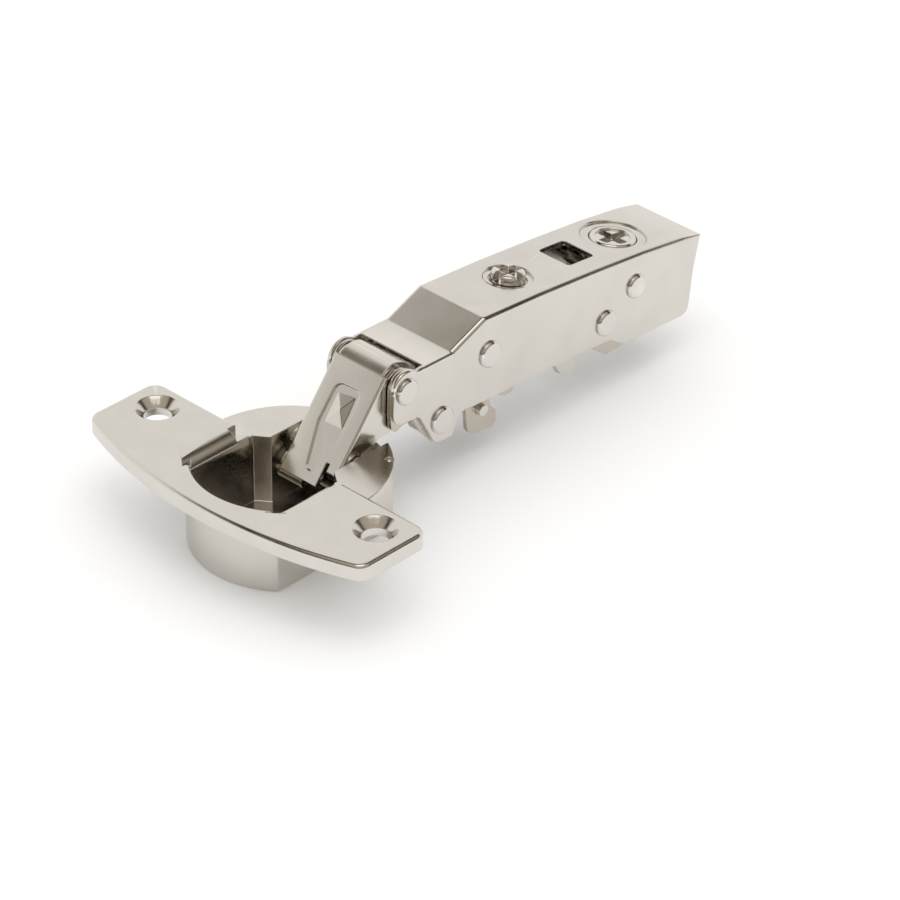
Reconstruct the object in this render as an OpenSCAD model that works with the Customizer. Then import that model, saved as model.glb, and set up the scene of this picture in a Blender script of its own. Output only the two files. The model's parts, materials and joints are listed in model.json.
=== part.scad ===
// Concealed cup hinge for a cabinet door.
// The cup is bored into the door, the arm clips onto a plate on the cabinet side.
// A folded outer link and a gooseneck inner link carry the door round its edge.
// Origin: centre of the cup on the flange's upper face. X runs towards the arm,
// Y along the door's edge, Z out of the door. The door stands open at about 97 degrees.

/* [Cup] */
// Diameter of the cup in the door
cup_dia = 35; // [33:0.5:42]
// Depth of the cup below the door's face
cup_depth = 13; // [12.5:0.1:16]
// Thickness of the cup's outer wall
cup_wall = 1.1; // [0.8:0.05:1.4]
// Thickness of the cup's floor
cup_floor = 1.5; // [1:0.1:2]
// Thickness of the flange on the door
flange_t = 3; // [2.5:0.1:3.6]
// Length of the flange from wing to wing
flange_len = 65.2; // [64:0.2:80]
// Reach of the flange's curved front from the cup's axis
flange_reach = 21.2; // [20.5:0.1:26]
// Radius of the flange's curved front
flange_front_r = 90; // [70:1:120]
// Radius of the flange's corners
flange_corner_r = 2.5; // [1:0.1:3]
// Depth of the rear platform below the flange's face
platform_drop = 1.5; // [0.8:0.1:1.8]

/* [Fixing screws] */
// Distance between the two screw holes
screw_pitch = 52; // [48:0.5:56]
// Distance of the screw line in front of the cup's axis
screw_back = 5.5; // [4:0.5:7]
// Diameter of a screw hole
screw_hole_d = 4.8; // [4:0.1:5.8]
// Diameter of its countersink
screw_sink_d = 7.8; // [7:0.1:9.4]

/* [Sheet and rivets] */
// Thickness of the arm's outer sheet
arm_sheet = 0.9; // [0.7:0.05:1.1]
// Thickness of the arm's inner plates
liner_sheet = 0.9; // [0.7:0.05:1.1]
// Thickness of the outer link's sheet
link_sheet = 0.9; // [0.7:0.05:1.1]
// Thickness of the inner link's cheeks
inner_sheet = 1.2; // [1:0.05:1.4]
// Thickness of the carrier's side plates
carrier_sheet = 1; // [0.8:0.05:1.2]
// Diameter of the two pins in the cup
pin_d = 2.5; // [2:0.1:2.6]
// Diameter of the arm's rivets
rivet_d = 3; // [2.5:0.1:3.2]
// Diameter of the rivets' heads
rivet_head_d = 4.8; // [4.4:0.1:5.4]
// Height of the rivets' heads
rivet_head_h = 0.7; // [0.5:0.05:1.2]

/* [Arm] */
// Width of the arm over its outer sheet
arm_w = 16; // [15:0.2:20]
// Length of the arm behind its front rivet
arm_len = 72.8; // [70:0.2:90]
// Downward tilt of the arm with the door open
arm_tilt = 7.4; // [0:0.2:10]

/* [Adjusters] */
// Diameter of the overlay screw
overlay_d = 6; // [5:0.1:6.4]
// Diameter of the depth cam's head
cam_head_d = 8.4; // [7.6:0.1:9]
// Cam throw to each side
cam_throw = 2; // [1.5:0.1:2.2]
// Turn of the depth cam to each side, in degrees
cam_turn = 140; // [120:5:150]
// Diameter of the front hook axle
hook_d = 2.1; // [1.8:0.1:2.4]

/* [Hidden] */
$fn = 48;

// Clearances
run_gap = 0.05;    // radial gap of a running pin
side_gap = 0.2;    // gap between plates that slide past each other
open_gap = 0.08;   // extra room round the rivet in the inner link's slot
bore_gap = 0.1;    // play of the cup in its bore

// Colours
satin = [0.72, 0.70, 0.67];
bright = [0.82, 0.81, 0.80];
dark = [0.55, 0.53, 0.50];

// Pivots as [x, z], with the door open
p1 = [7.7, -8.3];      // outer link's pin in the cup
p2 = [9.9, -4.75];     // inner link's pin in the cup
pa = [19.82, 6.84];    // front rivet, arm to outer link
b_uv = [9.52, -8.18];  // link rivet, in the arm's own frame
c_uv = [19.98, 1.22];  // spring rivet
d_uv = [arm_len - 23.09, -1.49];  // middle rivet
e_uv = [arm_len - 16.14, 3.71];   // rear rivet

// Point of the arm's frame in the open door's frame
function arm_xz(q) = pa + [q[0] * cos(arm_tilt) + q[1] * sin(arm_tilt),
                           -q[0] * sin(arm_tilt) + q[1] * cos(arm_tilt)];
pb = arm_xz(b_uv);

pin_r = pin_d / 2;
rivet_r = rivet_d / 2;

// Layers across the hinge, measured from the middle plane
shell_y = arm_w / 2;
liner_y = shell_y - arm_sheet;
liner_in = liner_y - liner_sheet;
link_y = liner_in - side_gap;
link_in = link_y - link_sheet;
inner_y = link_in - 0.5;
inner_in = inner_y - inner_sheet;
carrier_y = liner_in - side_gap;
carrier_in = carrier_y - carrier_sheet;
block_y = carrier_in - side_gap;
slot_y = link_y + 1.5;
well_y = slot_y + 2.5;
body_y = well_y + cup_wall;

cup_r = cup_dia / 2;
cup_in_r = cup_r - cup_wall;
cup_bottom = -flange_t - cup_depth;
floor_z = cup_bottom + cup_floor;

// Linear extrusion of an X-Z outline between two heights across the hinge
module slab(y0, y1) {
    translate([0, y1, 0]) rotate([90, 0, 0]) linear_extrude(y1 - y0) children();
}

// The same outline on both sides of the middle plane
module cheeks(y_in, y_out) {
    slab(y_in, y_out) children();
    slab(-y_out, -y_in) children();
}

// Round bar across the hinge
module bar(r, half) {
    rotate([90, 0, 0]) cylinder(r = r, h = 2 * half, center = true);
}

module at(q) {
    translate([q[0], 0, q[1]]) children();
}

module in_arm() {
    at(pa) rotate([0, arm_tilt, 0]) children();
}

// ---- Cup ----

front_c = flange_front_r - flange_reach;
wing_y = flange_len / 2;
corner_y = wing_y - flange_corner_r;
corner_x = front_c - sqrt(pow(flange_front_r - flange_corner_r, 2) - pow(corner_y, 2));
corner_a = asin(corner_y / (flange_front_r - flange_corner_r));
back_x = 0.2;
pocket_fillet = 1.4;
side_fillet = 2.9;
platform_x = -1.8;
slot_x = cup_r - 2.4;
rim_drop = 0.8;               // the slot's rear wall stops this far below the door's face

// Outline of the flange: a curved front, rounded corners and a straight back
module flange_outline() {
    intersection() {
        translate([front_c, 0]) circle(r = flange_front_r, $fn = 240);
        polygon([[front_c, 0],
                 [front_c - 110 * cos(corner_a), 110 * sin(corner_a)],
                 [front_c - 110 * cos(corner_a), -110 * sin(corner_a)]]);
        translate([-60, -wing_y]) square([60 + back_x, flange_len]);
    }
    for (s = [-1, 1]) {
        translate([corner_x, s * corner_y]) circle(r = flange_corner_r);
        translate([back_x - flange_corner_r, s * corner_y]) circle(r = flange_corner_r);
    }
    translate([corner_x, -corner_y]) square([back_x - corner_x, 2 * corner_y]);
    translate([corner_x, -wing_y]) square([back_x - flange_corner_r - corner_x, flange_len]);
}

// Plan of the cup's body below the flange: a round with two flats
module body_outline() {
    intersection() {
        circle(r = cup_r - bore_gap, $fn = 96);
        translate([-cup_r, -body_y]) square([2 * cup_r, 2 * body_y]);
    }
}

// Plan of the well that the links fold into
module well_outline() {
    intersection() {
        circle(r = cup_in_r, $fn = 96);
        polygon([[-cup_r, well_y], [1.4, well_y], [3.2, slot_y], [slot_x, slot_y],
                 [slot_x, -slot_y], [3.2, -slot_y], [1.4, -well_y], [-cup_r, -well_y]]);
    }
}

// Rounded upper edge along the well's straight sides and curved front
module well_rounding() {
    r = side_fillet;
    intersection() {
        for (s = [0, 1]) mirror([0, s, 0]) difference() {
            translate([-cup_r, well_y - 0.1, -r]) cube([cup_r + 0.6, r + 0.1, r + 0.1]);
            translate([-cup_r - 1, well_y + r, -r]) rotate([0, 90, 0]) cylinder(r = r, h = cup_r + 3);
        }
        translate([0, 0, -r - 1]) cylinder(r = cup_in_r + pocket_fillet, h = r + 2, $fn = 96);
    }
    intersection() {
        rotate_extrude($fn = 96) difference() {
            translate([cup_in_r - 0.1, -pocket_fillet]) square([pocket_fillet + 0.1, pocket_fillet + 0.1]);
            translate([cup_in_r + pocket_fillet, -pocket_fillet]) circle(r = pocket_fillet);
        }
        translate([-cup_r - 2, -well_y - 1, -2]) cube([cup_r, 2 * well_y + 2, 3]);
    }
}

module screw_sink(y) {
    depth = (screw_sink_d - screw_hole_d) / 2;
    translate([-screw_back, y, -flange_t - 1]) cylinder(d = screw_hole_d, h = flange_t + 2);
    translate([-screw_back, y, 0]) rotate_extrude()
        polygon([[0, -depth], [screw_hole_d / 2, -depth], [screw_sink_d / 2, 0],
                 [screw_sink_d / 2, 1], [0, 1]]);
}

// Boss round a cup pin that keeps the links in the middle
module pin_boss(q) {
    for (s = [0, 1]) mirror([0, s, 0]) translate([q[0], slot_y + 0.1, q[1]])
        rotate([90, 0, 0]) cylinder(r = pin_r + 1.2, h = slot_y - link_y - side_gap + 0.1);
}

module cup() {
    color(satin) difference() {
        union() {
            difference() {
                union() {
                    translate([0, 0, -flange_t]) linear_extrude(flange_t) {
                        flange_outline();
                        circle(r = cup_r, $fn = 96);
                    }
                    translate([0, 0, cup_bottom]) linear_extrude(cup_depth + 0.5) body_outline();
                }
                translate([0, 0, floor_z]) linear_extrude(20) well_outline();
                well_rounding();
                translate([platform_x, -well_y - side_fillet, -platform_drop])
                    cube([cup_r, 2 * (well_y + side_fillet), 5]);
                translate([back_x, -cup_r - 1, -platform_drop]) cube([cup_r, 2 * cup_r + 2, 5]);
                translate([0, -slot_y, -flange_t - rim_drop]) cube([cup_r + 5, 2 * slot_y, 10]);
            }
            pin_boss(p1);
            pin_boss(p2);
        }
        for (s = [-1, 1]) screw_sink(s * screw_pitch / 2);
        at(p1) bar(pin_r, body_y + 1);
        at(p2) bar(pin_r, body_y + 1);
        translate([12.2, -slot_y - 4, -platform_drop]) sphere(r = 0.7);
    }
}

module outer_link_pin() {
    color(bright) at(p1) bar(pin_r, body_y - 0.2);
}

module inner_link_pin() {
    color(bright) at(p2) bar(pin_r, body_y - 0.2);
}

// ---- Outer link ----

link1 = pa - p1;
link1_len = norm(link1);
link1_dir = atan2(link1[1], link1[0]);
web_t = 4.25;                  // outer face of the web above the link's centre line
web_in = web_t - link_sheet;
web_end = -1.6;                // lower edge of the web
eye1_r = pin_r + 1.1;
eye_a_r = rivet_r + 1.9;
lip_r = 1.2;
curl_y = link_y - 1;
curl_end = -21;                // where the curl round the front rivet ends, in degrees

module in_link1() {
    at(p1) rotate([0, -link1_dir, 0]) children();
}

// Side cheek: eyes at both pins, a neck to the web and a sloping lower edge
module link1_cheek() {
    circle(r = eye1_r);
    polygon([[-1.9, web_t - 0.2], [-eye1_r, 0], [eye1_r - 0.2, 1.2], [2.6, web_t - 0.2]]);
    polygon([[2.4, web_t], [3.2, 3.2], [4.6, 2.9], [6.5, 1.4], [8.9, -0.9], [10.2, -1.6],
             [11.6, -eye_a_r], [link1_len, -eye_a_r], [link1_len + 0.6, 3.2],
             [link1_len + 0.6, web_t]]);
    translate([link1_len, 0]) circle(r = eye_a_r);
}

// Web with its cut corner and slot
module link1_web() {
    difference() {
        translate([web_end, -link_y, web_in])
            cube([link1_len + 0.6 - web_end, 2 * link_y, link_sheet]);
        translate([web_end - 1, -link_y - 1, web_in - 1]) cube([1 + 1.5 - web_end, link_y - 2.4, 4]);
        translate([web_end - 1, -3.4, web_in - 1]) cube([1 + 2.9 - web_end, 0.7, 4]);
    }
}

// Outline pressed into the web
press_depth = 0.35;

module link1_press() {
    translate([0, 0, web_t - press_depth]) linear_extrude(1)
        polygon([[15.84, 1.6], [15.96, -1.7], [15.7, -2.4], [15.1, -2.8], [13.86, -3.05], [10.64, -2.94],
                 [2.04, -2.25], [1.0, -1.7], [0.45, -0.9], [0.33, -0.2], [0.5, 0.5], [1, 1.05],
                 [8.47, 2.92], [14.6, 2.85], [15.4, 2.4]]);
}

// Blunt pyramid left standing in the upper half of the pressed outline
module link1_pyramid() {
    z0 = web_t - press_depth - 0.1;
    polyhedron(points = [[14.8, 2.3, z0], [15.3, -2.3, z0], [12.1, -2.5, z0], [8.4, -2.6, z0],
                         [8.2, 2.2, z0], [11.8, -0.4, web_t + 0.1]],
               faces = [[4, 3, 2, 1, 0], [0, 1, 5], [1, 2, 5], [2, 3, 5], [3, 4, 5], [4, 0, 5]]);
}

// Curl that wraps over the front rivet
module link1_curl() {
    translate([link1_len, 0, 0]) intersection() {
        difference() {
            bar(web_t, curl_y);
            bar(web_in, curl_y + 1);
        }
        slab(-curl_y - 1, curl_y + 1)
            polygon([[0, 0], [-0.4, 9], [9, 9], [9 * cos(curl_end), 9 * sin(curl_end)]]);
    }
}

// Rolled lip under the web's lower edge
module link1_lip() {
    translate([web_end - 0.1, 0, web_t - lip_r]) difference() {
        slab(0.4, link_y) circle(r = lip_r);
        slab(-0.6, link_y + 1) circle(r = 0.45);
    }
}

module outer_link() {
    color(satin) in_link1() {
        difference() {
            union() {
                difference() {
                    cheeks(link_in, link_y) link1_cheek();
                    translate([web_end - 2, -link_y - 1, web_in - 0.3])
                        cube([3.5 - web_end, link_y - 2, 4]);
                }
                link1_web();
                link1_curl();
                link1_lip();
            }
            link1_press();
            bar(pin_r + run_gap, link_y + 1);
            translate([link1_len, 0, 0]) bar(rivet_r + run_gap, link_y + 1);
        }
        link1_pyramid();
    }
}

// ---- Inner link ----

link2 = pb - p2;
link2_dir = atan2(link2[1], link2[0]);
eye2_r = pin_r + 1.05;
slot_len = 1;                  // from the slot's middle to the middle of its round end
slot_r = rivet_r + 0.25 + open_gap;
slot_wall = 1.1;
slot_mid = [0.06, 0.13];

// Side cheek: it rises out of the cup, bends over the rim and drops to the rivet
module link2_cheek() {
    difference() {
        circle(r = eye2_r);
        rotate(-36.2) translate([-5 - 1.8, -5]) square([5, 10]);
    }
    polygon([[-1.45, 1.06], [0.6, 3.86], [1.6, 5.2], [3.2, 6.9], [4.7, 7.9], [6.3, 8.4],
             [12.9, 8.4], [15.2, 7.6], [19.6, 5.1], [18.4, 1.2], [14.4, 2.0], [14.1, 3.7],
             [13.3, 4.8], [12.4, 5.3], [7.4, 5.2], [5.4, 4.5], [4.2, 3.5], [2.2, 0.4],
             [0, 0]]);
    translate(link2) rotate(link2_dir) translate(slot_mid) {
        for (s = [-1, 1]) translate([s * slot_len, 0]) circle(r = slot_r + slot_wall);
        translate([-slot_len, -slot_r - slot_wall]) square([2 * slot_len, 2 * (slot_r + slot_wall)]);
    }
}

module inner_link() {
    color(dark) at(p2) difference() {
        union() {
            cheeks(inner_in, inner_y) link2_cheek();
            slab(-inner_in - 0.1, inner_in + 0.1)
                polygon([[4.7, 7.9], [6.3, 8.4], [12.9, 8.4], [15.2, 7.6], [15.0, 6.4],
                         [12.7, 7.2], [6.5, 7.2], [5.3, 6.8]]);
        }
        bar(pin_r + run_gap, inner_y + 1);
        translate([link2[0], 0, link2[1]]) rotate([0, -link2_dir, 0])
            translate([slot_mid[0], 0, slot_mid[1]]) {
                for (s = [-1, 1]) translate([s * slot_len, 0, 0]) bar(slot_r, inner_y + 1);
                cube([2 * slot_len, 2 * inner_y + 2, 2 * slot_r], center = true);
            }
    }
}

// ---- Arm ----

// Line of the arm's upper face, as [u, v] in the arm's frame
top_line = [[4.1, 3.4], [10.3, 4.1], [18, 8.5], [32, 9.3], [arm_len - 26.8, 9.75],
            [arm_len - 14.8, 9.95], [arm_len - 4.8, 9.7], [arm_len, 9.3]];
overlay_u = 31.8;
window_u = arm_len - 26.35;
window_l = 6.5;
window_w = 7.3;
cam_u = arm_len - 14.3;
window_r = 0.7;
cam_ring_r = cam_head_d / 2 + 1.7;
screw_ring_r = overlay_d / 2 + 1.4;

function unit(v) = v / norm(v);
function left_of(v) = [-v[1], v[0]];
function seg(p, i) = unit(p[min(i + 1, len(p) - 1)] - p[min(i, len(p) - 2)]);
function below(p, d) = [for (i = [0:len(p) - 1])
    let (a = left_of(seg(p, max(i - 1, 0))), b = left_of(seg(p, i)), n = unit(a + b))
        p[i] - n * d / (n * a)];
function reversed(p) = [for (i = [len(p) - 1:-1:0]) p[i]];

// Outline of the arm's side: ear, lobe and long wall
module arm_side() {
    translate([0.2, 0.5]) circle(r = 3.3);
    translate([-0.1, -3.5]) circle(r = 2.6);
    polygon(concat([[-3.1, 0.6], [-2.7, -3.5], [0.1, -6.1], [3.4, -5.9], [4.2, -6.4], [4.8, -7.2],
                    [7, -10.3], [8.1, -11.9], [8.9, -12.4], [12.1, -12.3], [12.8, -11.9],
                    [13.1, -10.9], [13.6, -9.1], [14.25, -8.3], [15.4, -7.9], [16.9, -8],
                    [23.8, -7.5], [31.2, -6.7], [36.2, -6.3], [arm_len - 21.3, -5.35],
                    [arm_len - 18.3, -6.8], [arm_len - 17.4, -7.25], [arm_len - 2.4, -6.1],
                    [arm_len - 1.2, -5.6], [arm_len - 0.8, -4.6], [arm_len - 0.7, 3]],
                   reversed(top_line), [[3.5, 3.4], [2.6, 3.2], [0.2, 3.8]]));
}

// Space under the sheet, closed at the top by the sheet's lower face
module arm_cavity() {
    low = below(top_line, arm_sheet);
    slab(-liner_y, liner_y)
        polygon(concat([[-12, -20], [-12, 20], [top_line[0][0], 20]], low,
                       [[arm_len + 6, low[len(low) - 1][1]], [arm_len + 6, -20]]));
}

// Driver's window with rounded corners
module rounded_window() {
    x = window_l / 2;
    y = window_w / 2;
    for (i = [-1, 1], j = [-1, 1])
        translate([i * (x - window_r), j * (y - window_r)]) circle(r = window_r);
    square([window_l - 2 * window_r, window_w], center = true);
    square([window_l, window_w - 2 * window_r], center = true);
}

module arm_shell() {
    color(satin) in_arm() difference() {
        union() {
            difference() {
                slab(-shell_y, shell_y) arm_side();
                arm_cavity();
            }
            translate([overlay_u, 0, 6.6]) cylinder(r = screw_ring_r, h = 2.1);
            translate([cam_u, 0, 8.6]) cylinder(r = min(cam_ring_r + 0.6, liner_y), h = 0.7);
        }
        for (q = [[0, 0], b_uv, c_uv, d_uv, e_uv]) at(q) bar(rivet_r, shell_y + 1);
        translate([overlay_u, 0, 8.9]) cylinder(r = screw_ring_r, h = 3);
        translate([overlay_u, 0, 8.3]) cylinder(r = overlay_d / 2 + 0.4, h = 3);
        translate([overlay_u, 0, 5]) cylinder(r = overlay_d / 2 + run_gap, h = 6);
        translate([window_u, 0, 7]) linear_extrude(5) rounded_window();
        translate([cam_u, 0, 9.5]) cylinder(r = cam_ring_r, h = 2);
        translate([cam_u, 0, 7]) cylinder(r = cam_head_d / 2 + 0.1, h = 5);
    }
}

// Inner plates that carry the pivots, with a strap under the arm's sheet
module liner_side() {
    translate([0.2, 0.5]) circle(r = 3.1);
    translate([-0.1, -3.5]) circle(r = 2.4);
    roof = below(top_line, arm_sheet + 0.1);
    polygon([[-2.9, 0.6], [-2.5, -3.6], [-2.2, -5.4], [-1.9, -6.9], [-1.2, -7.6], [-0.4, -7.8],
             [0.8, -7.1], [3.1, -6.6], [5.3, -9.5], [7.2, -11.1], [8.5, -12.3], [9.1, -12.6],
             [12, -12.2], [12.7, -11], [13.3, -9.2], [14.2, -7.9], [15.3, -7.5], [23.8, -7.3],
             [24.9, -8.6], [26.2, -9], [27.9, -8.7], [29.2, -7], [35.4, -6.2], [36, -5.6],
             [36, 3], [33, roof[3][1]], roof[2], roof[1], [4.6, roof[0][1] + 0.05],
             [3.4, 2.6], [0.2, 3.6]]);
}

module arm_liner() {
    color(dark) in_arm() difference() {
        union() {
            cheeks(liner_in, liner_y) liner_side();
            slab(-liner_in - 0.1, liner_in + 0.1)
                polygon([[19, 6.4], [27, 6.85], [27, 7.75], [19, 7.3]]);
        }
        for (q = [[0, 0], b_uv, c_uv]) at(q) bar(rivet_r, shell_y + 1);
    }
}

// Rivet with two low heads outside the arm
module rivet(q, head_d) {
    r = head_d / 2;
    h = shell_y + rivet_head_h;
    color(bright) in_arm() at(q) rotate([90, 0, 0]) rotate_extrude()
        polygon([[0, -h], [r - 0.35, -h], [r, -h + 0.35], [r, -shell_y], [rivet_r, -shell_y],
                 [rivet_r, shell_y], [r, shell_y], [r, h - 0.35], [r - 0.35, h], [0, h]]);
}

module front_rivet() {
    rivet([0, 0], rivet_head_d);
}

module link_rivet() {
    rivet(b_uv, rivet_head_d + 0.2);
}

module spring_rivet() {
    rivet(c_uv, rivet_head_d + 0.1);
}

module middle_rivet() {
    rivet(d_uv, rivet_head_d);
}

module rear_rivet() {
    rivet(e_uv, rivet_head_d - 0.3);
}

// Double torsion spring on the spring rivet
spring_wire = 1.1;
spring_r = rivet_r + 0.15 + spring_wire / 2;

module closing_spring() {
    y0 = min(inner_y, liner_in - 1) - spring_wire / 2 + 0.2;
    color(dark) in_arm() at(c_uv) for (s = [0, 1]) mirror([0, s, 0]) {
        for (i = [0:2]) translate([0, y0 - i * spring_wire, 0]) rotate([90, 0, 0])
            rotate_extrude() translate([spring_r, 0]) circle(d = spring_wire + 0.02, $fn = 16);
        translate([-spring_r, y0, 0]) rotate([0, 160, 0]) rotate([0, 90, 0])
            cylinder(d = spring_wire, h = 7.2);
        translate([spring_r, y0 - 2 * spring_wire, 0]) rotate([0, -75, 0]) rotate([0, 90, 0])
            cylinder(d = spring_wire, h = 4.9);
    }
}

// ---- Overlay screw ----

tilt_u = arm_len - 8.8;        // pivot of the carrier on the cam block
tilt_v = 1.5;
web_v = 3.7;                   // middle of the carrier's upper web

// Driver recess: a cross along and across the arm, with a widened middle
module cross_recess(reach, slot, depth) {
    for (a = [0, 90]) rotate(a) translate([-reach, -slot / 2, 0]) cube([2 * reach, slot, depth]);
    rotate(45) translate([-slot * 0.8, -slot * 0.8, 0]) cube([slot * 1.6, slot * 1.6, depth]);
}

overlay_top = 10.5;

module overlay_screw() {
    r = overlay_d / 2;
    color(bright) in_arm() translate([overlay_u, 0, 0]) difference() {
        rotate_extrude() polygon([[0, web_v - 3.2], [2.6, web_v - 3.2], [2.6, web_v - 2.2],
            [1.6, web_v - 2.2], [1.6, web_v + 2.2], [r, web_v + 2.2], [r, overlay_top - 0.5],
            [r - 0.15, overlay_top - 0.2], [r - 0.5, overlay_top], [0, overlay_top]]);
        translate([0, 0, overlay_top - 1.6]) cross_recess(r + 0.5, overlay_d * 0.3, 3);
    }
}

// ---- Depth cam and its block ----

stud_r = 0.7;
stud_u = 2.9;                  // stud's distance from the cam's axis at rest
groove_w = stud_r + 0.1;
cam_disc_r = stud_u + cam_throw + groove_w + 0.6;

// Spiral groove: its radius grows evenly as the cam turns
function groove_at(a, side) = let (r = stud_u + cam_throw * a / cam_turn + side * groove_w)
    [r * cos(a), r * sin(a)];

module cam_groove() {
    a0 = -cam_turn - 3;
    steps = 36;
    da = 2 * (cam_turn + 3) / steps;
    linear_extrude(1.1) union() {
        polygon(concat([for (i = [0:steps]) groove_at(a0 + i * da, 1)],
                       [for (i = [steps:-1:0]) groove_at(a0 + i * da, -1)]));
        for (a = [a0, -a0]) translate(groove_at(a, 0)) circle(r = groove_w, $fn = 24);
    }
}

cam_top = 9.75;

module depth_cam() {
    color(bright) in_arm() translate([cam_u, 0, 0]) difference() {
        union() {
            translate([0, 0, 6.9]) cylinder(r = cam_disc_r, h = 1.6);
            cylinder(r = cam_head_d / 2, h = cam_top);
        }
        translate([0, 0, -1]) cylinder(r = cam_head_d, h = 7.9);
        translate([0, 0, 6.85]) cam_groove();
        translate([0, 0, cam_top - 0.35]) cylinder(r = cam_head_d / 2 - 1.1, h = 1);
        translate([0, 0, cam_top - 1.4]) cross_recess(cam_head_d / 2 - 1.3, cam_head_d * 0.21, 3);
    }
}

block_top = 6.7;
block_low = e_uv[1] + rivet_r + 0.29;    // clear of the rear rivet

module cam_block() {
    color(dark) in_arm() difference() {
        union() {
            translate([cam_u - 6, -block_y, block_low]) cube([15, 2 * block_y, block_top - block_low]);
            translate([cam_u + stud_u, 0, block_top - 0.1]) cylinder(r = stud_r, h = 1.2);
            cheeks(block_y - 1, block_y) {
                translate([tilt_u, tilt_v]) circle(r = 2.4);
                translate([tilt_u - 2.4, tilt_v]) square([4.8, block_top - 0.2 - tilt_v]);
            }
        }
        at([tilt_u, tilt_v]) bar(1.2, block_y + 1);
    }
}

module cam_axle() {
    color(bright) in_arm() at([tilt_u, tilt_v]) bar(1.2, carrier_y - 0.05);
}

// ---- Carrier that clips onto the mounting plate ----

hook_uv = [21.3, -10.5];
hook_r = hook_d / 2;
latch_uv = [arm_len - 14.8, -3.5];
latch_r = 1.2;
notch_u0 = d_uv[0] - cam_throw - rivet_r - 0.3;
notch_u1 = d_uv[0] + cam_throw + rivet_r + 0.3;

module carrier_side() {
    polygon([[17.6, -4.9], [17.6, -9.3], [18.6, -13.8], [19.3, -14.6], [21, -15], [25, -15],
             [25.8, -14.1], [25.5, -12], [24.1, -10.8], [23.5, -9.4], [24, -8.2], [25.2, -7.2],
             [27, -6.9], [45, -6.4], [49.2, -7.2], [52.4, -9], [53.5, -9.5], [arm_len - 14.8, -8.8],
             [arm_len - 4, -6.6], [arm_len - 2.8, -5.4], [arm_len - 2.8, -1],
             [tilt_u + 2.2, tilt_v + 0.6], [tilt_u, tilt_v], [tilt_u - 2.2, tilt_v - 0.4],
             [notch_u1 + 0.6, tilt_v - 0.4], [notch_u1, tilt_v - 1], [notch_u1, d_uv[1] - 2.5],
             [notch_u0, d_uv[1] - 2.5], [notch_u0, 3.4], [notch_u0 - 0.8, web_v + 0.5],
             [27.5, web_v + 0.5], [26.8, 3.4], [26.4, -2.4], [25, -4.2], [23.4, -4.9]]);
    translate([tilt_u, tilt_v]) circle(r = 2.6);
}

module carrier() {
    color(dark) in_arm() difference() {
        union() {
            cheeks(carrier_in, carrier_y) carrier_side();
            translate([27.5, -carrier_in - 0.1, web_v - 0.5]) cube([11, 2 * carrier_in + 0.2, 1]);
        }
        translate([26, -1.9, web_v - 2]) cube([overlay_u + cam_throw - 26, 3.8, 4]);
        translate([overlay_u + cam_throw, 0, web_v - 2]) cylinder(r = 1.9, h = 4);
        at(hook_uv) bar(hook_r, carrier_y + 1);
        at(latch_uv) bar(latch_r, carrier_y + 1);
        at([tilt_u, tilt_v]) bar(1.2 + run_gap, carrier_y + 1);
    }
}

module hook_axle() {
    color(bright) in_arm() at(hook_uv) bar(hook_r, carrier_y + 1);
}

module lever_side() {
    circle(r = 2.2);
    polygon([[-1.6, 1.4], [-4.5, -2.1], [-9, -2.4], [-20, -2.3], [-20, -4.2], [-17.2, -5], [-16.4, -5.6],
             [-15.2, -7.2], [-13.9, -7.9], [-12.4, -7.6], [-11.4, -6.8], [-11.2, -4.4],
             [-3, -4.2], [4, -3.4], [12.6, -2.6], [12.6, -0.4], [11.4, 0.4], [6, 0.2], [1.4, 1.6]]);
}

module latch_lever() {
    color(satin) in_arm() at(latch_uv) difference() {
        union() {
            cheeks(block_y - 1.4, block_y) lever_side();
            slab(-block_y + 1.3, block_y - 1.3) polygon([[-11, -3.9], [-4.5, -3.9], [-4.5, -2.9], [-11, -2.9]]);
            slab(-block_y + 1.3, block_y - 1.3) polygon([[11.4, -2.6], [12.6, -2.6], [12.6, -0.4], [11.4, 0.4]]);
        }
        bar(latch_r + run_gap, block_y + 1);
    }
}

module latch_pin() {
    color(bright) in_arm() at(latch_uv) bar(latch_r, carrier_y - 0.05);
}

module latch_spring() {
    wire = 0.6;
    color(dark) in_arm() at(latch_uv) {
        for (i = [-3:3]) translate([0, i * wire, 0]) rotate([90, 0, 0])
            rotate_extrude() translate([latch_r + 0.1 + wire / 2, 0]) circle(d = wire + 0.02, $fn = 16);
        translate([latch_r + 0.1 + wire / 2, -3 * wire, 0]) rotate([0, 60, 0]) cylinder(d = wire, h = 3.2);
    }
}

cup();
outer_link_pin();
inner_link_pin();
outer_link();
inner_link();
arm_shell();
arm_liner();
front_rivet();
link_rivet();
spring_rivet();
middle_rivet();
rear_rivet();
closing_spring();
overlay_screw();
depth_cam();
cam_block();
cam_axle();
carrier();
hook_axle();
latch_lever();
latch_pin();
latch_spring();
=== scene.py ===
# %% [markdown]
# # A concealed cup hinge
# The hinge comes in as a fixed frame from its CAD model: every piece has its
# true shape and place, but every edge is sharp and nothing has a finish. Here
# the pieces get the rounded edges, the wound springs and the satin nickel that
# the real ones have. Nothing is moved and no size changes.
#
# It keeps track of which moving body each new piece rides on, so that the hinge
# can still fold.

# %% Load the frame
import bpy
import bmesh
import json
import math
from mathutils import Matrix, Vector
from mathutils.bvhtree import BVHTree


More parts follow.
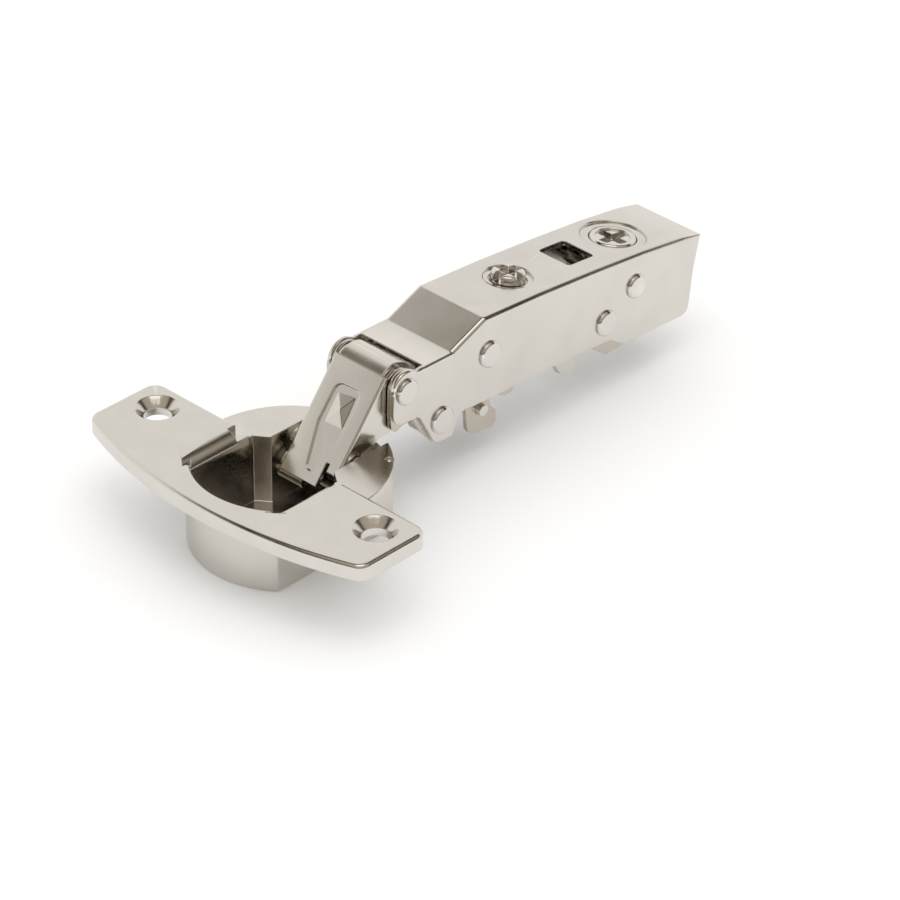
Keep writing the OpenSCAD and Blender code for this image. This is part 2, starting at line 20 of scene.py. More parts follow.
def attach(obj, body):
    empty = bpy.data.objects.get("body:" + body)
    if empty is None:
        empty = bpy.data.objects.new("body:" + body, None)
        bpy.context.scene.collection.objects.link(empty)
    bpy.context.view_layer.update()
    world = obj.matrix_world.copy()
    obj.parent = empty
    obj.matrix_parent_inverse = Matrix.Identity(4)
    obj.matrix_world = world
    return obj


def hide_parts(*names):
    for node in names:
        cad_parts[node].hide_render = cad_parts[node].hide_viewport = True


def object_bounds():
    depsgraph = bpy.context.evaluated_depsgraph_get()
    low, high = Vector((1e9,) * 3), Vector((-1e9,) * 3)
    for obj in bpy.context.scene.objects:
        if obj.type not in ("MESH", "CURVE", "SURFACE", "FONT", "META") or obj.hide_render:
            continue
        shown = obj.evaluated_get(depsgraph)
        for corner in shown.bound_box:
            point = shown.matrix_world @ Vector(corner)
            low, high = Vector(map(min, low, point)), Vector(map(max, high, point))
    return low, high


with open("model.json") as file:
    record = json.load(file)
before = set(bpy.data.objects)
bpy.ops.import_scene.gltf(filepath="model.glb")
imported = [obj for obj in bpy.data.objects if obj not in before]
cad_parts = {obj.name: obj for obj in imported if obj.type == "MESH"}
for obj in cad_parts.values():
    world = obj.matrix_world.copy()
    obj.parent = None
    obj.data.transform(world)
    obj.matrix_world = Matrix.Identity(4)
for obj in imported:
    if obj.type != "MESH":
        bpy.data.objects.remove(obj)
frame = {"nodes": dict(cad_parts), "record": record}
nodes = frame["nodes"]
body_of = {n: b for b, group in frame["record"]["behaviour"]["bodies"].items() for n in group}
slot_of = {s["node"]: s["material_slot"] for s in frame["record"]["subparts"]}
MM = 0.001                       # the frame is in metres, the sizes below are in mm
cad_low, cad_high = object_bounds()
print(len(nodes), "pieces, CAD box", [round(v, 4) for v in cad_low], [round(v, 4) for v in cad_high])

# %% [markdown]
# ## Camera
# The photograph looks down on the hinge from its front left with a long lens,
# so that parallel edges stay nearly parallel. A camera could be placed by eye
# and nudged, but three angles, a distance and the picture point where the
# hinge's origin falls say all of it. They were found by fitting the round cup,
# the screw holes and the arm's straight edges.

# %% Camera
AZIMUTH, ELEVATION, ROLL = math.radians(-45.868), math.radians(32.872), math.radians(0.262)
FOCAL_PX, DISTANCE = 4886.0, 0.8108
FRAME_PX, SENSOR = 900, 36       # the picture's width, and the camera's own in mm
ORIGIN_PX = (288.49, 453.89)     # where the middle of the cup's upper face falls

level = math.cos(ELEVATION)
back = Vector((math.sin(AZIMUTH) * level, -math.cos(AZIMUTH) * level, math.sin(ELEVATION)))
right = (-back).cross(Vector((0, 0, 1))).normalized()
up = right.cross(-back)
right, up = (right * math.cos(ROLL) + up * math.sin(ROLL),
             up * math.cos(ROLL) - right * math.sin(ROLL))
off_x = (ORIGIN_PX[0] - FRAME_PX / 2) / FOCAL_PX * DISTANCE
off_y = -(ORIGIN_PX[1] - FRAME_PX / 2) / FOCAL_PX * DISTANCE
place = back * DISTANCE - right * off_x - up * off_y

bpy.ops.object.camera_add(location=place)
camera = bpy.context.object
camera.name = "photo_camera"
camera.matrix_world = Matrix.Translation(place) @ Matrix((right, up, back)).transposed().to_4x4()
camera.data.sensor_width = SENSOR
camera.data.lens = FOCAL_PX * SENSOR / FRAME_PX
camera.data.clip_start = 0.01
bpy.context.scene.camera = camera
print("camera at", [round(v, 4) for v in place], "lens", round(camera.data.lens, 1))

# %% [markdown]
# ## Lamp
# One soft box hangs over the hinge. Many small lamps would leave as many spots
# on the metal; one large pale square leaves none. It is weak, because most of
# the light comes from the world, and gives the table a first soft shadow.

# %% Lamp
def area_lamp(name, place, target, size, power):
    bpy.ops.object.light_add(type="AREA", location=place)
    lamp = bpy.context.object
    lamp.name = name
    aim = Vector(target) - Vector(place)
    lamp.rotation_euler = aim.to_track_quat("-Z", "Y").to_euler()
    lamp.data.shape = "RECTANGLE"
    lamp.data.size, lamp.data.size_y = size
    lamp.data.energy = power
    return lamp

scene = bpy.context.scene
scene.view_settings.view_transform = "Standard"
overhead = area_lamp("overhead", (-0.05, -0.12, 0.6), (0.03, 0, 0), (0.4, 0.4), 0.55)
print("lamp", overhead.name, overhead.data.energy, "W")

# %% [markdown]
# ## Sky
# Metal has hardly a colour of its own: it shows what surrounds it. The hinge's
# flat faces mirror a pale room behind it and a white table, and each rounded
# edge has a dark line, where it mirrors the dark above and to the right. So the
# sky is painted for the metal. A slanted line parts it: pale behind the hinge,
# dark above and to the right, and just over the horizon pale again. Panels with
# a light of their own would do it too, but they would have to be hidden from
# the camera and would stand in the way when the view turns.

# %% Sky colours
SLANT, LIFT = (-0.403, -0.728, 1.0), 0.32     # the line's slope, and how high it lies
LOW_BAND, LOW_STEEP = 0.08, 2.5               # the pale band over the horizon
LINE = 0.25                                   # where the line falls on the ramp
SKY = ((0.0, (1.0, 0.985, 0.96)),
       (0.18, (1.0, 0.985, 0.96)),
       (0.30, (0.27, 0.225, 0.175)),
       (0.44, (0.04, 0.03, 0.02)),
       (0.58, (0.03, 0.022, 0.015)),
       (0.75, (0.50, 0.45, 0.38)))
world = bpy.data.worlds.new("studio")
scene.world = world
world.use_nodes = True
wn, wl = world.node_tree.nodes, world.node_tree.links
wn.clear()
print("sky with", len(SKY), "stops")

# %% Sky nodes
def sky_math(kind, a, b):
    m = wn.new("ShaderNodeMath")
    m.operation = kind
    for i, v in enumerate((a, b)):
        if isinstance(v, float):
            m.inputs[i].default_value = v
        else:
            wl.new(v, m.inputs[i])
    return m.outputs[0]

direction = wn.new("ShaderNodeTexCoord")
slant = wn.new("ShaderNodeVectorMath")
slant.operation = "DOT_PRODUCT"
slant.inputs[1].default_value = SLANT
wl.new(direction.outputs["Generated"], slant.inputs[0])
split = wn.new("ShaderNodeSeparateXYZ")
wl.new(direction.outputs["Generated"], split.inputs[0])
above_line = sky_math("SUBTRACT", slant.outputs["Value"], LIFT)
above_low = sky_math("MULTIPLY", sky_math("SUBTRACT", split.outputs["Z"], LOW_BAND), LOW_STEEP)
depth = sky_math("ADD", sky_math("MINIMUM", above_line, above_low), LINE)
ramp = wn.new("ShaderNodeValToRGB")
ramp.color_ramp.interpolation = "EASE"
while len(ramp.color_ramp.elements) < len(SKY):
    ramp.color_ramp.elements.new(0.5)
for stop, (where, colour) in zip(ramp.color_ramp.elements, SKY):
    stop.position, stop.color = where, (*colour, 1)
wl.new(depth, ramp.inputs["Fac"])
seen = wn.new("ShaderNodeBackground")
wl.new(ramp.outputs["Color"], seen.inputs["Color"])
print("sky seen in the metal,", len(wn), "nodes")

# %% [markdown]
# ## Even light
# The painted sky is right for reflections, but it would leave the table grey on
# one side. Light Path's Is Diffuse Ray tells the two uses apart: light that a
# dull surface gathers comes from an even pale sky, so the table stays white and
# the hinge's own shadow faint, and mirrored light comes from the painted one.

# %% Even light
even = wn.new("ShaderNodeBackground")
even.inputs["Color"].default_value = (1.0, 0.995, 0.985, 1)
even.inputs["Strength"].default_value = 1.08
path = wn.new("ShaderNodeLightPath")
either = wn.new("ShaderNodeMixShader")
wl.new(path.outputs["Is Diffuse Ray"], either.inputs["Fac"])
wl.new(seen.outputs[0], either.inputs[1])
wl.new(even.outputs[0], either.inputs[2])
out = wn.new("ShaderNodeOutputWorld")
wl.new(either.outputs[0], out.inputs["Surface"])
print("even light", even.inputs["Strength"].default_value)

# %% [markdown]
# ## Table
# The hinge lies on a plain pale table. It is a large plane at the cup's
# underside, with a dull white that isn't shiny at all, so that it takes a soft
# shadow and no reflection.

# %% Table
TABLE_SIZE = 6
bpy.ops.mesh.primitive_plane_add(size=TABLE_SIZE, location=(0, 0, cad_low[2]))
table = bpy.context.object
table.name = "studio_table"
table_mat = bpy.data.materials.new("studio_table")
table_mat.use_nodes = True
shader = table_mat.node_tree.nodes["Principled BSDF"]
shader.inputs["Base Color"].default_value = (0.93, 0.93, 0.93, 1)
shader.inputs["Roughness"].default_value = 0.9
shader.inputs["Specular IOR Level"].default_value = 0.1
table.data.materials.append(table_mat)
print("table", TABLE_SIZE, "m wide at height", round(cad_low[2], 4))

# %% [markdown]
# ## Grain
# Satin nickel is a warm pale metal over rolled or cast steel. A very fine grain
# breaks its reflections, and soft patches some millimetres wide are a little
# duller than the rest. Along edges that get handled the plating is rubbed
# smoother, and there its colour is also painted brighter, which is a painted
# highlight on each pointed edge. Each metal could have these nodes of its own,
# but one node group with named inputs keeps them alike: it is built once, and
# every metal gives it its own values. The patterns read Object coordinates, so
# they stay on a piece when it moves.

# %% Grain nodes
GRAIN_INPUTS = (("Scale", 3000.0), ("Roughness", 0.2), ("Spread", 0.05),
                ("Patches", 0.04), ("Bump", 0.1), ("Wear_and_highlight", 0.1))
PATCH_SCALE = 160.0              # patches about 6 mm wide
WEAR_AND_HIGHLIGHT_FROM, WEAR_AND_HIGHLIGHT_TO = 0.52, 0.62  # how pointed an edge is where the rubbed wear and the painted highlight start and are full
GRAIN_DEPTH = 0.00002            # metres

def grain_nodes(n, l):
    """Two helpers for the group: a noise pattern, and a sum on values or sockets."""
    where = n.new("ShaderNodeTexCoord")

    def noise(scale, detail):
        t = n.new("ShaderNodeTexNoise")
        t.inputs["Detail"].default_value = detail
        l.new(where.outputs["Object"], t.inputs["Vector"])
        if isinstance(scale, float):
            t.inputs["Scale"].default_value = scale
        else:
            l.new(scale, t.inputs["Scale"])
        return t.outputs["Fac"]

    def maths(kind, *values):
        m = n.new("ShaderNodeMath")
        m.operation = kind
        for i, v in enumerate(values):
            if isinstance(v, (int, float)):
                m.inputs[i].default_value = v
            else:
                l.new(v, m.inputs[i])
        return m.outputs[0]

    return noise, maths

print("grain patches about", round(1000 / PATCH_SCALE, 1), "mm wide")

# %% Grain group
def grain_group():
    g = bpy.data.node_groups.new("metal_grain", "ShaderNodeTree")
    for name, value in GRAIN_INPUTS:
        socket = g.interface.new_socket(name, in_out="INPUT", socket_type="NodeSocketFloat")
        socket.default_value = value
    g.interface.new_socket("Tint", in_out="INPUT", socket_type="NodeSocketColor")
    g.interface.new_socket("Color", in_out="OUTPUT", socket_type="NodeSocketColor")
    g.interface.new_socket("Roughness", in_out="OUTPUT", socket_type="NodeSocketFloat")
    g.interface.new_socket("Normal", in_out="OUTPUT", socket_type="NodeSocketVector")
    n, l = g.nodes, g.links
    given, made = n.new("NodeGroupInput"), n.new("NodeGroupOutput")
    noise, maths = grain_nodes(n, l)

    # grain and patches, each as far above or below its middle
    fine, soft = noise(given.outputs["Scale"], 3), noise(PATCH_SCALE, 2)
    fine_mid, soft_mid = maths("SUBTRACT", fine, 0.5), maths("SUBTRACT", soft, 0.5)
    rough = maths("MULTIPLY_ADD", fine_mid, given.outputs["Spread"], given.outputs["Roughness"])
    rough = maths("MULTIPLY_ADD", soft_mid, given.outputs["Patches"], rough)
    shade = maths("MULTIPLY_ADD", soft_mid, given.outputs["Patches"], 1.0)
    shade = maths("MULTIPLY_ADD", fine_mid, given.outputs["Spread"], shade)

    # pointed edges are rubbed smoother, and their colour is painted brighter as a painted highlight
    edge = n.new("ShaderNodeMapRange")
    edge.inputs["From Min"].default_value = WEAR_AND_HIGHLIGHT_FROM
    edge.inputs["From Max"].default_value = WEAR_AND_HIGHLIGHT_TO
    l.new(n.new("ShaderNodeNewGeometry").outputs["Pointiness"], edge.inputs["Value"])
    edge_wear_and_highlight = maths("MULTIPLY", edge.outputs["Result"], given.outputs["Wear_and_highlight"])
    # painted highlight: the colour of pointed edges is made brighter than the rest
    shade = maths("ADD", shade, edge_wear_and_highlight)
    rough = maths("MULTIPLY_ADD", edge_wear_and_highlight, -0.5, rough)

    tint = n.new("ShaderNodeVectorMath")
    tint.operation = "SCALE"
    l.new(given.outputs["Tint"], tint.inputs[0])
    l.new(shade, tint.inputs["Scale"])
    bump = n.new("ShaderNodeBump")
    bump.inputs["Distance"].default_value = GRAIN_DEPTH
    l.new(given.outputs["Bump"], bump.inputs["Strength"])
    l.new(fine, bump.inputs["Height"])
    l.new(tint.outputs[0], made.inputs["Color"])
    l.new(rough, made.inputs["Roughness"])
    l.new(bump.outputs["Normal"], made.inputs["Normal"])
    return g

GRAIN = grain_group()
print("grain group", len(GRAIN.nodes), "nodes")

# %% [markdown]
# ## Metals
# Three finishes cover the hinge. The cup, links and arm are nickel plated and
# satin; the inside plates are a darker, duller steel; rivets and screws are
# turned or headed, so they are brighter and smoother. What is the same all over
# a piece, such as being metal, is set on the shader itself.

# %% Metals
def metal(name, colour, roughness, spread, patches, bump, wear_and_highlight, scale):
    m = bpy.data.materials.new(name)
    m.use_nodes = True
    n, l = m.node_tree.nodes, m.node_tree.links
    s = n["Principled BSDF"]
    s.inputs["Metallic"].default_value = 1
    g = n.new("ShaderNodeGroup")
    g.node_tree = GRAIN
    for socket, value in (("Scale", scale), ("Roughness", roughness), ("Spread", spread),
                          ("Patches", patches), ("Bump", bump), ("Wear_and_highlight", wear_and_highlight),
                          ("Tint", (*colour, 1))):
        g.inputs[socket].default_value = value
    l.new(g.outputs["Color"], s.inputs["Base Color"])
    l.new(g.outputs["Roughness"], s.inputs["Roughness"])
    l.new(g.outputs["Normal"], s.inputs["Normal"])
    return m

#             name            colour                 rough spread patch bump  wear and painted highlight  scale
FINISHES = (
    ("satin_nickel", (0.655, 0.626, 0.578), 0.20, 0.08, 0.16, 0.14, 0.12, 2600),
    ("dark_steel",   (0.54, 0.49, 0.43),    0.25, 0.10, 0.20, 0.18, 0.15, 2200),
    ("bright_steel", (0.68, 0.655, 0.615),  0.14, 0.04, 0.06, 0.06, 0.08, 3600),
)
FINISH = {values[0]: metal(*values) for values in FINISHES}

for n, o in nodes.items():
    o.data.materials.clear()
    o.data.materials.append(FINISH[slot_of[n]])
print("finishes", ", ".join(FINISH))

# %% [markdown]
# ## Places on the hinge
# Many edges are told apart by where they are: a fold of the arm, the rim of a
# screw seat. The arm is tilted and so is the outer link, and in the hinge's own
# axes their edges would have awkward numbers. Two small functions turn a point
# into the arm's or the link's own measure, along it and above it.

# %% Places on the hinge
TILT = math.radians(7.4)         # the arm dips towards its rear end
FRONT = (19.82, 6.84)            # front rivet, x and z in mm
PIN = (7.7, -8.3)                # outer link's pin in the cup
LINK = math.atan2(FRONT[1] - PIN[1], FRONT[0] - PIN[0])

def arm_uv(p):
    """A point in the arm's own frame, in mm along and above it."""
    x, z = p.x / MM - FRONT[0], p.z / MM - FRONT[1]
    return x * math.cos(TILT) - z * math.sin(TILT), x * math.sin(TILT) + z * math.cos(TILT)

def arm_point(u, v, y):
    """The other way round: a point in metres from mm along, above and across the arm."""
    x = FRONT[0] + u * math.cos(TILT) + v * math.sin(TILT)
    return x * MM, y * MM, (FRONT[1] - u * math.sin(TILT) + v * math.cos(TILT)) * MM

def link_sw(p):
    """A point in the outer link's frame, in mm along and above it."""
    x, z = p.x / MM - PIN[0], p.z / MM - PIN[1]
    return x * math.cos(LINK) + z * math.sin(LINK), -x * math.sin(LINK) + z * math.cos(LINK)

print("outer link stands at", round(math.degrees(LINK), 1), "degrees")

# %% [markdown]
# ## Copies of the CAD pieces
# No real edge is perfectly sharp, and on metal the rounded edge is what shows.
# A CAD piece itself stays as it is, so a copy is rounded and stands in its
# place. It comes as loose triangles: the copy's doubled points are merged, and
# triangles that lie in one plane are dissolved into one face, because a bevel
# needs real edges and no lines across a flat. An operator works on whatever is
# selected, so everything is deselected first.

# %% Copies
MERGE = 2e-6                     # points closer than this are one
IN_PLANE = math.radians(0.5)     # faces that turn less than this are one flat

def pick(thing):
    bpy.ops.object.select_all(action="DESELECT")
    thing.select_set(True)
    bpy.context.view_layer.objects.active = thing

def apply_all(o):
    pick(o)
    for m in list(o.modifiers):
        bpy.ops.object.modifier_apply(modifier=m.name)

def cleaned_copy(node):
    pick(nodes[node])
    bpy.ops.object.duplicate()
    o = bpy.context.object
    for k in list(o.keys()):
        del o[k]
    o.parent = None
    o.name = node + "_finished"
    bpy.ops.object.mode_set(mode="EDIT")
    bpy.ops.mesh.select_all(action="SELECT")
    bpy.ops.mesh.remove_doubles(threshold=MERGE)
    bpy.ops.mesh.dissolve_limited(angle_limit=IN_PLANE)
    bpy.ops.object.mode_set(mode="OBJECT")
    return o

def stand_for(o, node):
    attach(o, body_of[node])
    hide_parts(node)

print("copies merge points closer than", round(MERGE * 1e6, 1), "micrometres")

# %% [markdown]
# ## Flats that a round has upset
# A flat face with a hole in it is one many-sided face. When a wide round draws
# its outline in past the hole's rim, the face folds over itself and shows black.
# Clamping the round would make every round on the piece as small as the
# tightest spot allows. Instead the upset flat is emptied and filled anew
# between the borders that the round has left.

# %% Find an upset flat
FOLD_AREA = 4e-11                # smaller triangles are too thin to judge
SAME_PLANE, SAME_LEVEL = 0.9999, 3e-6

def folded_faces(b):
    """Faces whose own triangles don't all look the same way as the face, the largest first."""
    found = {}
    for loops in b.calc_loop_triangles():
        face = loops[0].face
        p, q, r = (l.vert.co for l in loops)
        turn = (q - p).cross(r - p)
        if turn.length > FOLD_AREA and turn.normalized().dot(face.normal) < 0.5:
            found[face] = found.get(face, 0) + turn.length / 2
    return sorted(found, key=lambda f: -found[f])

def whole_flat(face):
    """A face and all that joins it in the same plane."""
    normal, point = face.normal.copy(), face.verts[0].co.copy()
    group, border = {face}, [face]
    while border:
        for e in border.pop().edges:
            for f in e.link_faces:
                level = abs((f.verts[0].co - point).dot(normal)) < SAME_LEVEL
                if f not in group and level and f.normal.dot(normal) > SAME_PLANE:
                    group.add(f)
                    border.append(f)
    return group

print("one flat is level within", round(SAME_LEVEL * 1e6, 1), "micrometres")

# %% Fill it again
MOST_FLATS = 24                  # no piece has more to fill

def fill_border(o, normal):
    """Fill every open border, marking the new faces as flat and turning them the flat's way."""
    b = bmesh.from_edit_mesh(o.data)
    for e in b.edges:
        e.select = len(e.link_faces) == 1
    bmesh.update_edit_mesh(o.data)
    bpy.ops.mesh.fill(use_beauty=True)
    b = bmesh.from_edit_mesh(o.data)
    b.normal_update()
    mark = b.faces.layers.int.get("flat") or b.faces.layers.int.new("flat")
    for f in b.faces:
        if f.select:
            f[mark] = 1
            if f.normal.dot(normal) < 0:
                f.normal_flip()

def fill_flats_again(o):
    pick(o)
    bpy.ops.object.mode_set(mode="EDIT")
    b = bmesh.from_edit_mesh(o.data)
    done = 0
    while done < MOST_FLATS:
        b.normal_update()
        folded = folded_faces(b)
        if not folded:
            break
        normal = folded[0].normal.copy()
        for part in (b.verts, b.edges, b.faces):
            for item in part:
                item.select = False
        for f in whole_flat(folded[0]):
            f.select = True
        bmesh.update_edit_mesh(o.data)
        bpy.ops.mesh.delete(type="FACE")
        fill_border(o, normal)
        b = bmesh.from_edit_mesh(o.data)
        done += 1
    bmesh.update_edit_mesh(o.data)
    bpy.ops.object.mode_set(mode="OBJECT")
    return done

print("at most", MOST_FLATS, "flats are filled again on a piece")

# %% [markdown]
# ## Strays
# Where many short edges meet, a bevel can throw a point far off, which leaves a
# thin spike. The CAD piece says where the surface should be: a search tree
# finds the nearest spot on it for each point, and a point that lies outside, or
# deeper than any round reaches, goes back there.

# %% Strays
STRAY = 0.06                     # mm
DEEPEST = 0.35                   # how deep a round cuts, as a share of its width

def pull_in_strays(o, cad, widest):
    moved = 0
    for v in o.data.vertices:
        spot, normal, _, distance = cad.find_nearest(v.co)
        outside = distance > STRAY * MM and (v.co - spot).dot(normal) > 0
        if outside or distance > max(DEEPEST * widest, STRAY) * MM:
            v.co = spot
            moved += 1
    return moved

print("a stray lies more than", STRAY, "mm outside")

# %% [markdown]
# ## Flats that stay flat
# Smooth shading blends a flat into the rounds around it, and in a mirror-like
# metal even a slight blend shows as a star round each hole. Weighted normals
# cure most of it. The broad flats then get their own exact normal at every
# corner, and the rounds keep theirs.

# %% Keep flats flat
BROAD = 1.3                      # mm; a curved wall's faces are narrower than this

def keep_flats_flat(o):
    mesh = o.data
    marks = mesh.attributes.get("flat")
    normals = [corner.vector.copy() for corner in mesh.corner_normals]
    for p in mesh.polygons:
        around = sum((mesh.vertices[a].co - mesh.vertices[b].co).length for a, b in p.edge_keys)
        if (marks and marks.data[p.index].value) or 2 * p.area > BROAD * MM * around:
            for corner in p.loop_indices:
                normals[corner] = p.normal.copy()
    mesh.normals_split_custom_set(normals)
    if marks:
        mesh.attributes.remove(mesh.attributes["flat"])

print("a flat broader than", BROAD, "mm keeps its own normal")

# %% [markdown]
# ## Rounding by edge
# One Bevel modifier rounds a whole piece, but a fold of the arm is much softer
# than the rim of a hole. So each edge gets a weight, its own width as a share of
# the widest, and the modifier follows the weights. Each piece below comes with
# a function that says how wide the round at an edge is, in mm: None leaves the
# edge sharp, and a minus sign rounds it even if it is a shallow one.

# %% Width of each edge
SHALLOW = 4                      # degrees; less of a turn than this is no edge at all

def edge_widths(b, width_of, sharp):
    widths = {}
    for e in b.edges:
        angle = math.degrees(e.calc_face_angle(0)) if len(e.link_faces) == 2 else 0
        one, other = (v.co for v in e.verts)
        middle, along = (one + other) / 2, (other - one).normalized()
        width = width_of(middle, along, angle) if angle > SHALLOW else None
        if width and (angle > sharp or width < 0):
            widths[e.index] = abs(width)
    return widths

print("an edge turns more than", SHALLOW, "degrees")

# %% Round the edges
def bevel_by_weight(o, widest, segments):
    bevel = o.modifiers.new("rounds", "BEVEL")
    bevel.limit_method = "WEIGHT"
    bevel.width = widest * MM
    bevel.segments = segments
    bevel.use_clamp_overlap = False
    bevel.loop_slide = False
    apply_all(o)

def shade_rounds(o, smooth):
    bpy.ops.object.shade_smooth_by_angle(angle=math.radians(smooth))
    flat = o.modifiers.new("flat_faces", "WEIGHTED_NORMAL")
    flat.keep_sharp = True
    apply_all(o)
    keep_flats_flat(o)

def soften(node, width_of, sharp=28, segments=4, smooth=32):
    """Round a copy's edges that turn more than sharp degrees, and let it stand for the CAD piece."""
    o = cleaned_copy(node)
    b = bmesh.new()
    b.from_mesh(o.data)
    cad = BVHTree.FromBMesh(b)
    widths = edge_widths(b, width_of, sharp)
    widest = max(widths.values())
    layers = b.edges.layers.float
    weight = layers.get("bevel_weight_edge") or layers.new("bevel_weight_edge")
    b.edges.ensure_lookup_table()
    for i, w in widths.items():
        b.edges[i][weight] = w / widest
    b.to_mesh(o.data)
    b.free()
    bevel_by_weight(o, widest, segments)
    filled = fill_flats_again(o)
    pulled = pull_in_strays(o, cad, widest)
    shade_rounds(o, smooth)
    stand_for(o, node)
    print(node, len(o.data.polygons), "faces, widest round", widest, "mm, flats filled again",
          filled, "strays", pulled)

# %% [markdown]
# ## The cup and its flange
# The cup is one die casting. The upper edge of its flange is what a hand meets,
# so it has a generous round, and the light draws a dark line along it. The
# cup's foot has a smaller one, which helps it into its bore, and the edges
# round the well and the screw seats are only just broken, as the mould leaves
# them. The flange's outline is found as the edges at the flange's height that
# are clear of the well and of both screw seats.

# %% Cup
FLANGE_ROUND, FOOT_ROUND, RIM_ROUND, INSIDE_ROUND = 0.75, 0.4, 0.16, 0.12
WELL_CLEAR = 18.5                # mm from the cup's axis
SCREW_HOLE, SEAT_CLEAR = (-5.5, 26), 4.5

def cup_width(p, along, angle):
    x, y, z = p.x / MM, p.y / MM, p.z / MM
    off_seat = math.hypot(x - SCREW_HOLE[0], abs(y) - SCREW_HOLE[1]) > SEAT_CLEAR
    if abs(z) < 0.01 and math.hypot(x, y) > WELL_CLEAR and off_seat:
        return FLANGE_ROUND
    if z < -15.9:
        return FOOT_ROUND
    return RIM_ROUND if z > -1.6 else INSIDE_ROUND

soften("cup", cup_width)

# %% [markdown]
# ## The outer link
# It is folded from one sheet: the long edges of its web are bends, so they are
# rounder than the cut edges. A narrow outline and a blunt pyramid are pressed
# into the web. Their edges are shallow and would be passed over, so they are
# rounded on purpose, a little, to catch a thin line of light.

# %% Outer link
WEB_BEND, CUT_EDGE = 0.45, 0.12
PRESSED, PRESSED_STEEP = -0.12, 0.16

def outer_link_width(p, along, angle):
    s, w = link_sw(p)
    y = abs(p.y / MM)
    if w > 3.8 and y < 4.5 and 0 < s < 17.5:
        return PRESSED if angle < 60 else PRESSED_STEEP
    if w > 4.2 and y > 5.9 and s < 20:
        return WEB_BEND
    return CUT_EDGE

soften("outer_link", outer_link_width, sharp=20, segments=3)

# %% [markdown]
# ## The arm's outer sheet
# The arm is folded too. Its long upper edges are bends of nearly a millimetre,
# and they carry the dark line that runs the whole length of the arm. In front,
# where the ears begin, there is less room and the bend is tighter. The creases
# across the ramp and the rings round both screws are pressed, with finer
# rounds. The very rear end is cut off square and stays sharp.

# %% Arm shell
ARM_BEND, EAR_BEND, PRESS_ROUND, SHEET_EDGE = 0.85, 0.45, 0.25, 0.13
ARM_END = 72.7
HALF_WIDTH = 7.95
CREASES = (10.3, 18)
OVERLAY_SEAT, CAM_SEAT = (31.8, 4.6), (58.5, 6.2)      # mm along the arm, and radius
ARM_TOP = [(4.1, 3.4), (10.3, 4.1), (18.0, 8.5), (32.0, 9.3), (46.0, 9.75),
           (58.0, 9.95), (68.0, 9.7), (72.8, 9.3)]     # the top's outline, along and above

def top_height(u):
    for (u0, v0), (u1, v1) in zip(ARM_TOP, ARM_TOP[1:]):
        if u0 - 0.01 <= u <= u1 + 0.01:
            return v0 + (v1 - v0) * (u - u0) / (u1 - u0)
    return 99.0

def arm_width(p, along, angle):
    u, v = arm_uv(p)
    y = p.y / MM
    if u > ARM_END:
        return None
    if abs(y) > HALF_WIDTH and abs(along.y) < 0.5:
        if u > 10.25 and abs(v - top_height(u)) < 0.03:
            return ARM_BEND
        if v > 0 and u < 10.3 and math.hypot(u, v) > 2.5:
            return EAR_BEND
    on_crease = abs(along.y) > 0.9 and v > 4 and min(abs(u - c) for c in CREASES) < 0.3
    on_overlay = math.hypot(u - OVERLAY_SEAT[0], y) < OVERLAY_SEAT[1] and v > 8
    on_cam = math.hypot(u - CAM_SEAT[0], y) < CAM_SEAT[1] and v > 9
    return PRESS_ROUND if on_crease or on_overlay or on_cam else SHEET_EDGE

soften("arm_shell", arm_width, sharp=18)

# %% [markdown]
# ## Rivets and screws
# The rivets have low flat heads with a broken edge. The head of the depth cam
# is rolled over, so its rim is nearly a half round, with finer rounds inside
# its recess. The overlay screw is a plain one with an even small round.

# %% Rivets and screws
RIVET_ROUND, SCREW_ROUND = 0.1, 0.12
CAM_RIM, CAM_RECESS, CAM_EDGE = 0.5, 0.25, 0.08
CAM_TOP, CAM_INNER = 9.7, 4.0

for node in ("front_rivet", "link_rivet", "spring_rivet", "middle_rivet", "rear_rivet"):
    soften(node, lambda p, along, angle: RIVET_ROUND, segments=3)

def cam_width(p, along, angle):
    u, v = arm_uv(p)
    if v <= CAM_TOP:
        return CAM_EDGE
    return CAM_RIM if math.hypot(u - CAM_SEAT[0], p.y / MM) > CAM_INNER else CAM_RECESS

soften("depth_cam", cam_width, segments=4)
soften("overlay_screw", lambda p, along, angle: SCREW_ROUND, segments=3)

# %% [markdown]
# ## Links, plates and pins
# What is stamped from sheet or cut from wire has the same small round all over,
# where the burr was tumbled off, so one width does for each of them.

# %% Links, plates and pins
TUMBLED = 0.15
for node in ("inner_link", "arm_liner", "carrier", "latch_lever", "cam_block",
             "hook_axle", "cam_axle", "latch_pin", "outer_link_pin", "inner_link_pin"):
    soften(node, lambda p, along, angle: TUMBLED, segments=3)

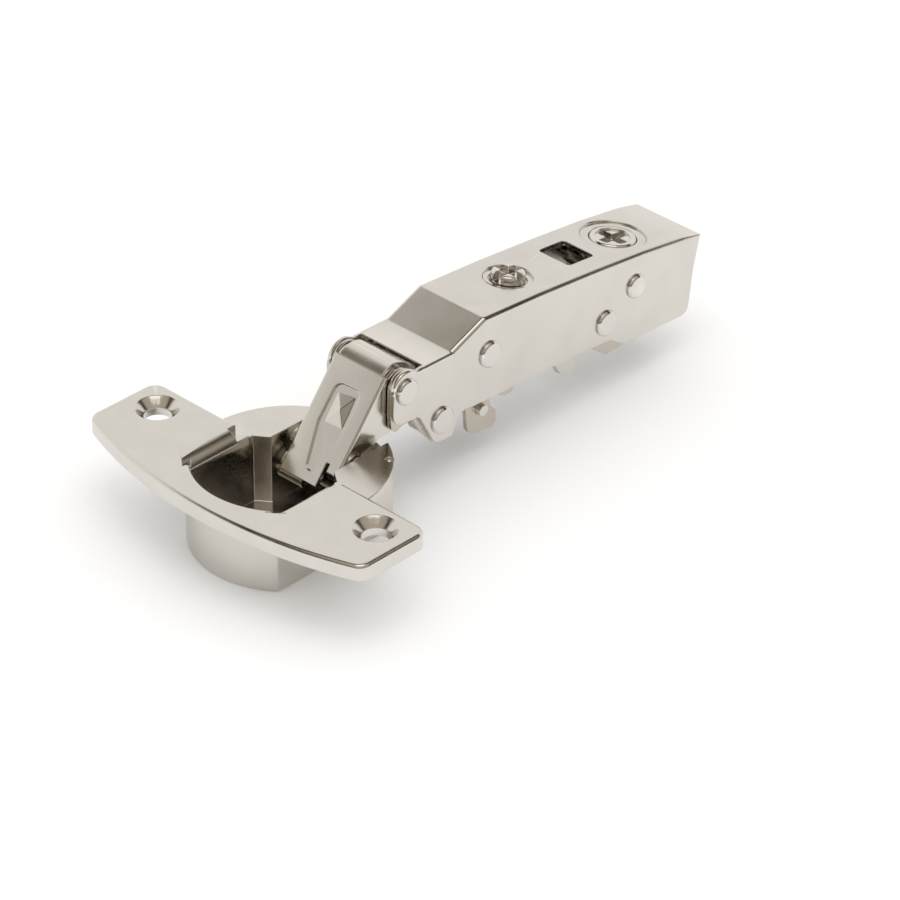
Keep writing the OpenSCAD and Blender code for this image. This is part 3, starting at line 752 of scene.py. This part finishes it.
# %% [markdown]
# ## Springs
# A spring is one wire, and in the CAD model each is only a plain stand-in. A
# Screw modifier could wind a coil, but not its straight legs. Here the wire's
# middle line is given point by point: down the first leg, round the coil and
# out along the second leg. As a curve with a round bevel it becomes a wire, and
# then it is turned into a mesh. The closing spring round its rivet has two
# coils, mirrored about the arm's middle; the latch's has one.

# %% Springs
TURN_STEPS = 24

def coil_points(centre, radius, start_y, pitch, start_turn, turns, side):
    """The coil's middle line in mm: along, above and across the arm."""
    points = []
    for i in range(int(turns * TURN_STEPS) + 1):
        t = i / TURN_STEPS
        a = math.radians(start_turn) + 2 * math.pi * t
        points.append((centre[0] + radius * math.cos(a), centre[1] + radius * math.sin(a),
                       side * (start_y - pitch * t)))
    return points

def wire_spring(name, node, coil, wire, leg_in, leg_out):
    """The legs are steps from the coil's two ends, in mm along and above."""
    first, last = coil[0], coil[-1]
    points = ([(first[0] + leg_in[0], first[1] + leg_in[1], first[2])] + coil
              + [(last[0] + leg_out[0], last[1] + leg_out[1], last[2])])
    curve = bpy.data.curves.new(name, "CURVE")
    curve.dimensions = "3D"
    line = curve.splines.new("POLY")
    line.points.add(len(points) - 1)
    for point, (u, v, y) in zip(line.points, points):
        point.co = (*arm_point(u, v, y), 1)
    curve.bevel_depth = wire / 2 * MM
    curve.bevel_resolution = 3
    curve.use_fill_caps = True
    o = bpy.data.objects.new(name, curve)
    scene.collection.objects.link(o)
    pick(o)
    bpy.ops.object.convert(target="MESH")
    bpy.ops.object.shade_smooth_by_angle(angle=math.radians(50))
    o.data.materials.append(FINISH[slot_of[node]])
    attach(o, body_of[node])
    return o

for name, side in (("left", 1), ("right", -1)):
    coil = coil_points((19.98, 1.22), 2.2, 4.25, 1.12, 180, 2.5, side)
    wire_spring("closing_coil_" + name, "closing_spring", coil, 1.08,
                             (-6.77, -2.46), (1.27, 4.73))
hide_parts("closing_spring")

coil = coil_points((58.0, -3.5), 1.6, 1.8, 0.61, 0, 6.0, 1)
latch_coil = wire_spring("latch_coil", "latch_spring", coil, 0.58, (2.2, 0.4), (2.77, 1.6))
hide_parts("latch_spring")
